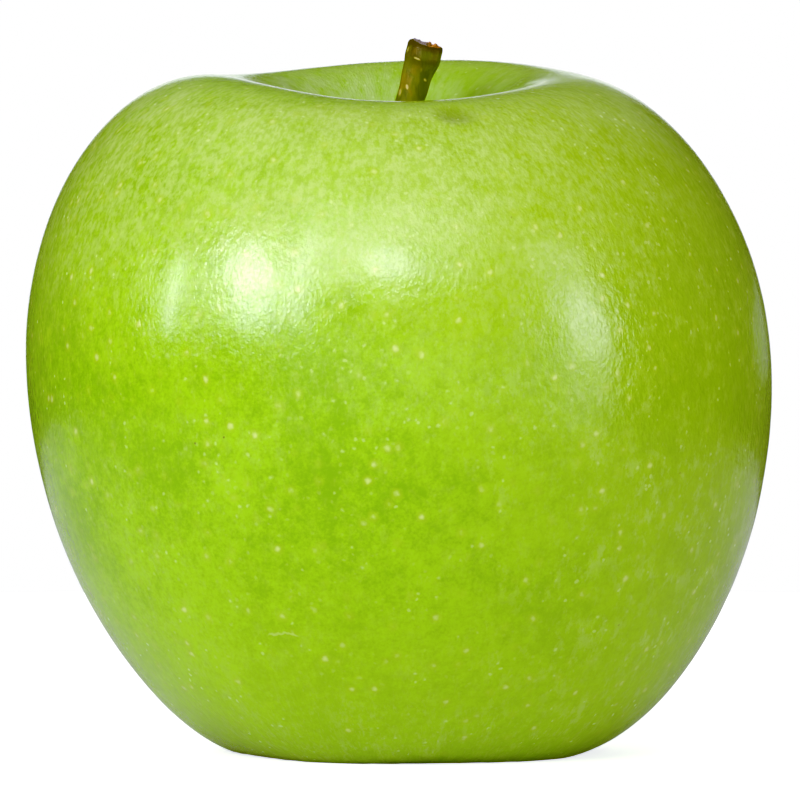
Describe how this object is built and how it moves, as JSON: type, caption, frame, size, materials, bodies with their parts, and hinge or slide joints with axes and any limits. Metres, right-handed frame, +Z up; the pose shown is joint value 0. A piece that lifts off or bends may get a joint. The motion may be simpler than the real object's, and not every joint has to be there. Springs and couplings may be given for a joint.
{
  "type": "green apple",
  "caption": "Whole green apple with a short leaning woody stem in its cavity and a dried calyx in the basin underneath; stands on small flat spots around that basin.",
  "frame": {"origin": "middle of the underside of the whole apple's box, on the plane it rests on", "axes": "+Z up along the fruit's core, from the calyx to the stem; +X towards the side that the stem leans to; -Y is the front"},
  "size_m": [0.0766, 0.0754, 0.0734],
  "materials": {
    "skin": "waxy satin-gloss fruit skin, yellow-green with pale flecks",
    "stem_bark": "dull olive-brown bark, torn reddish end",
    "dried_sepal": "matte, downy, dried",
    "dried_stamen": "matte, withered"
  },
  "bodies": {
    "root": {"fruit": "skin", "stem": "stem_bark", "sepal_1": "dried_sepal", "sepal_2": "dried_sepal", "sepal_3": "dried_sepal", "sepal_4": "dried_sepal", "sepal_5": "dried_sepal", "stamen_tuft": "dried_stamen"}
  },
  "joints": []
}
